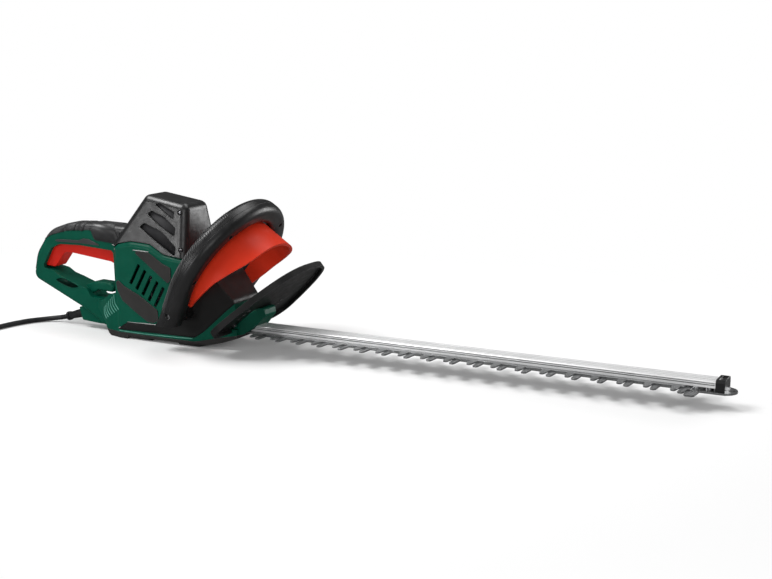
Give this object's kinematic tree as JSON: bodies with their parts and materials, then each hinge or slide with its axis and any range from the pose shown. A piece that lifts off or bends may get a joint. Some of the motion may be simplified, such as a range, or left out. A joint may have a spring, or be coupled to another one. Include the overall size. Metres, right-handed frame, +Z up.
{
  "type": "hedge trimmer",
  "caption": "Corded hedge trimmer with a long double-sided reciprocating toothed blade, a rear loop handle with trigger, a bow front handle with a switch bar, a hand guard and a plug lead.",
  "frame": {"origin": "middle of the underside of the sole, under the motor axis", "axes": "+X forward along the blade, +Z up, Y = 0 is the plane of symmetry"},
  "size_m": [1.14, 0.2685, 0.1991],
  "materials": {
    "green_plastic": "moulded glass-filled plastic, lightly grained",
    "black_plastic": "moulded plastic, satin",
    "rubber_grip": "soft overmoulded rubber, ribbed and grained",
    "grey_inlay": "dark grey soft plastic",
    "red_plastic": "moulded plastic, satin gloss",
    "bar_aluminium": "extruded and clear anodised",
    "cast_aluminium": "die cast",
    "blade_steel": "ground, laser cut",
    "bright_steel": "zinc plated or ground",
    "gear_steel": "sintered and oiled",
    "bronze": "turned or pressed",
    "core_steel": "stacked laminations",
    "copper_winding": "enamelled wire and copper bars",
    "carbon": "pressed carbon",
    "fan_plastic": "moulded nylon",
    "switch_plastic": "moulded plastic",
    "cord_rubber": "rubber sheath, satin"
  },
  "bodies": {
    "root": {"bar_screws": "bright_steel", "blade_bar": "bar_aluminium", "blade_bolts": "bright_steel", "blade_bushings": "bright_steel", "blade_washers": "bright_steel", "bow_front_shell": "black_plastic", "bow_rear_shell": "black_plastic", "bow_screws": "bright_steel", "brush_bridge": "cast_aluminium", "brush_holders": "bronze", "cable_boot": "cord_rubber", "capacitor": "switch_plastic", "carbon_brushes": "carbon", "cord": "cord_rubber", "cord_clamp": "switch_plastic", "end_plate": "blade_steel", "end_spacer": "bright_steel", "field_coils": "copper_winding", "front_switch": "switch_plastic", "gear_cover": "black_plastic", "gear_pin": "bright_steel", "gearbox_base": "cast_aluminium", "gearbox_lid": "cast_aluminium", "guard_screws": "bright_steel", "hand_guard": "black_plastic", "handle_grip": "rubber_grip", "handle_inserts": "rubber_grip", "housing_left": "green_plastic", "housing_right": "green_plastic", "inner_lead": "cord_rubber", "lower_bearing": "bright_steel", "motor_hood": "black_plastic", "motor_posts": "bright_steel", "plug_body": "cord_rubber", "plug_pins": "bright_steel", "rear_switch": "switch_plastic", "side_inlays": "grey_inlay", "sole_plate": "black_plastic", "stator_core": "core_steel", "switch_bar_pins": "bright_steel", "terminal_block": "switch_plastic", "tip_cap": "black_plastic", "trigger_pin": "bright_steel", "trigger_spring": "bright_steel", "upper_bearing": "bright_steel"},
    "rotor": {"rotor_shaft": "bright_steel", "rotor_core": "core_steel", "rotor_windings": "copper_winding", "commutator": "copper_winding", "cooling_fan": "fan_plastic", "pinion": "gear_steel"},
    "gear": {"drive_gear": "gear_steel", "gear_bush": "bronze", "upper_eccentric": "gear_steel", "lower_eccentric": "gear_steel"},
    "upper_blade": {"upper_blade": "blade_steel"},
    "lower_blade": {"lower_blade": "blade_steel"},
    "trigger": {"trigger": "red_plastic"},
    "switch_plunger": {"switch_plunger": "switch_plastic"},
    "switch_bar": {"switch_bar": "red_plastic"}
  },
  "joints": [
    {"name": "rotor_spin", "type": "hinge", "parent": "root", "child": "rotor", "pos_m": [0, 0, 0.1], "axis": [0, 0, 1], "continuous": true},
    {"name": "gear_spin", "type": "hinge", "parent": "root", "child": "gear", "pos_m": [0.038, 0, 0.035], "axis": [0, 0, 1], "continuous": true},
    {"name": "upper_blade_slide", "type": "slide", "parent": "root", "child": "upper_blade", "axis": [1, 0, 0], "range_m": [-0.0036, 0.0119]},
    {"name": "lower_blade_slide", "type": "slide", "parent": "root", "child": "lower_blade", "axis": [1, 0, 0], "range_m": [-0.0119, 0.0036]},
    {"name": "trigger_pull", "type": "hinge", "parent": "root", "child": "trigger", "pos_m": [-0.099, 0, 0.127], "axis": [0, 1, 0], "range_deg": [0, 3.5], "stiffness_Nm_per_rad": 6, "springref_deg": -5.73, "deforming": ["trigger_spring"]},
    {"name": "plunger_slide", "type": "slide", "parent": "root", "child": "switch_plunger", "axis": [0, 0, 1], "range_m": [0, 0.00226]},
    {"name": "switch_bar_squeeze", "type": "hinge", "parent": "root", "child": "switch_bar", "pos_m": [0.07108, 0, 0.06854], "axis": [0, -1, 0], "range_deg": [0, 5], "stiffness_Nm_per_rad": 6, "springref_deg": -5.73}
  ],
  "couplings": [
    {"joint": "rotor_spin", "follows": "gear_spin", "ratio": -5.3333},
    {"joint": "lower_blade_slide", "follows": "upper_blade_slide", "ratio": -1},
    {"joint": "plunger_slide", "follows": "trigger_pull", "m_per_rad": 0.037}
  ]
}
